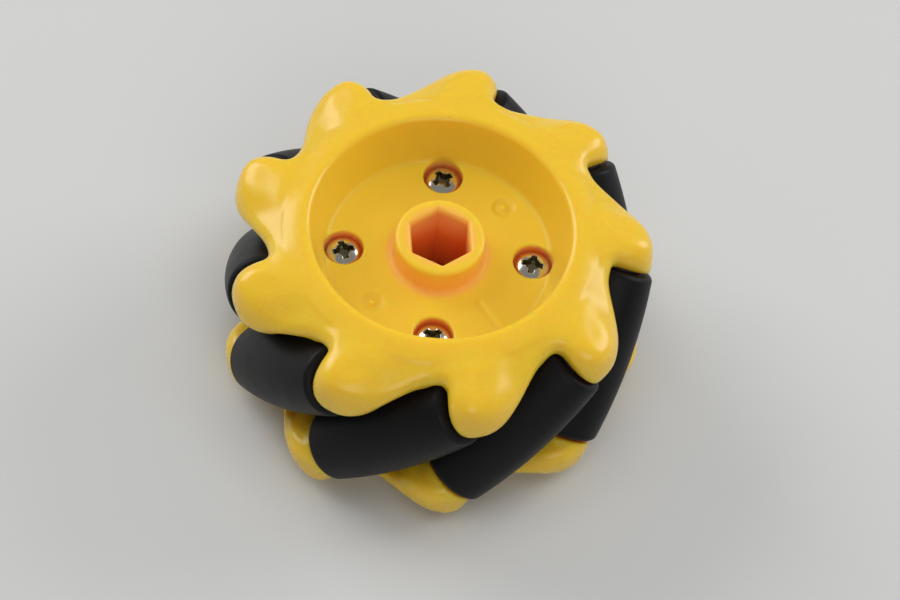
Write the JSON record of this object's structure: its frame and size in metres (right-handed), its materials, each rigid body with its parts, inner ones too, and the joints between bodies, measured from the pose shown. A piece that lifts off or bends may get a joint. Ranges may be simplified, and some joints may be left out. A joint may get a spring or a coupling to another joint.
{
  "type": "mecanum wheel",
  "caption": "Mecanum wheel with a screwed plastic hub, a hexagonal shaft socket and free-turning rubber rollers held at 45 degrees round its rim between curved fingers.",
  "frame": {"origin": "centre of the wheel, on its axis and half way between its two rim faces", "axes": "+Z along the wheel's axis towards the face with the screw heads; +X through the middle of the first roller; right-handed"},
  "size_m": [0.0608, 0.0608, 0.032],
  "materials": {
    "shell": "glossy moulded yellow plastic, slightly translucent",
    "tyre": "matte soft black rubber",
    "core": "matte black nylon",
    "pin": "drawn steel",
    "screw": "bright nickel plate"
  },
  "bodies": {
    "hub": {"front_shell": "shell", "back_shell": "shell", "hub_screws": "screw", "axle_pin_1": "pin", "axle_pin_2": "pin", "axle_pin_3": "pin", "axle_pin_4": "pin", "axle_pin_5": "pin", "axle_pin_6": "pin", "axle_pin_7": "pin", "axle_pin_8": "pin", "axle_pin_9": "pin"},
    "roller_1": {"roller_core_1": "core", "roller_tyre_1": "tyre"},
    "roller_2": {"roller_core_2": "core", "roller_tyre_2": "tyre"},
    "roller_3": {"roller_core_3": "core", "roller_tyre_3": "tyre"},
    "roller_4": {"roller_core_4": "core", "roller_tyre_4": "tyre"},
    "roller_5": {"roller_core_5": "core", "roller_tyre_5": "tyre"},
    "roller_6": {"roller_core_6": "core", "roller_tyre_6": "tyre"},
    "roller_7": {"roller_core_7": "core", "roller_tyre_7": "tyre"},
    "roller_8": {"roller_core_8": "core", "roller_tyre_8": "tyre"},
    "roller_9": {"roller_core_9": "core", "roller_tyre_9": "tyre"}
  },
  "joints": [
    {"name": "roller_1_spin", "type": "hinge", "parent": "hub", "child": "roller_1", "pos_m": [0.0242, 0, 0], "axis": [0, 0.7071, 0.7071], "continuous": true},
    {"name": "roller_2_spin", "type": "hinge", "parent": "hub", "child": "roller_2", "pos_m": [0.01854, 0.01555, 0], "axis": [-0.4545, 0.5417, 0.7071], "continuous": true},
    {"name": "roller_3_spin", "type": "hinge", "parent": "hub", "child": "roller_3", "pos_m": [0.0042, 0.02383, 0], "axis": [-0.6964, 0.1228, 0.7071], "continuous": true},
    {"name": "roller_4_spin", "type": "hinge", "parent": "hub", "child": "roller_4", "pos_m": [-0.0121, 0.02096, 0], "axis": [-0.6124, -0.3536, 0.7071], "continuous": true},
    {"name": "roller_5_spin", "type": "hinge", "parent": "hub", "child": "roller_5", "pos_m": [-0.02274, 0.00828, 0], "axis": [-0.2418, -0.6645, 0.7071], "continuous": true},
    {"name": "roller_6_spin", "type": "hinge", "parent": "hub", "child": "roller_6", "pos_m": [-0.02274, -0.00828, 0], "axis": [0.2418, -0.6645, 0.7071], "continuous": true},
    {"name": "roller_7_spin", "type": "hinge", "parent": "hub", "child": "roller_7", "pos_m": [-0.0121, -0.02096, 0], "axis": [0.6124, -0.3536, 0.7071], "continuous": true},
    {"name": "roller_8_spin", "type": "hinge", "parent": "hub", "child": "roller_8", "pos_m": [0.0042, -0.02383, 0], "axis": [0.6964, 0.1228, 0.7071], "continuous": true},
    {"name": "roller_9_spin", "type": "hinge", "parent": "hub", "child": "roller_9", "pos_m": [0.01854, -0.01555, 0], "axis": [0.4545, 0.5417, 0.7071], "continuous": true}
  ]
}
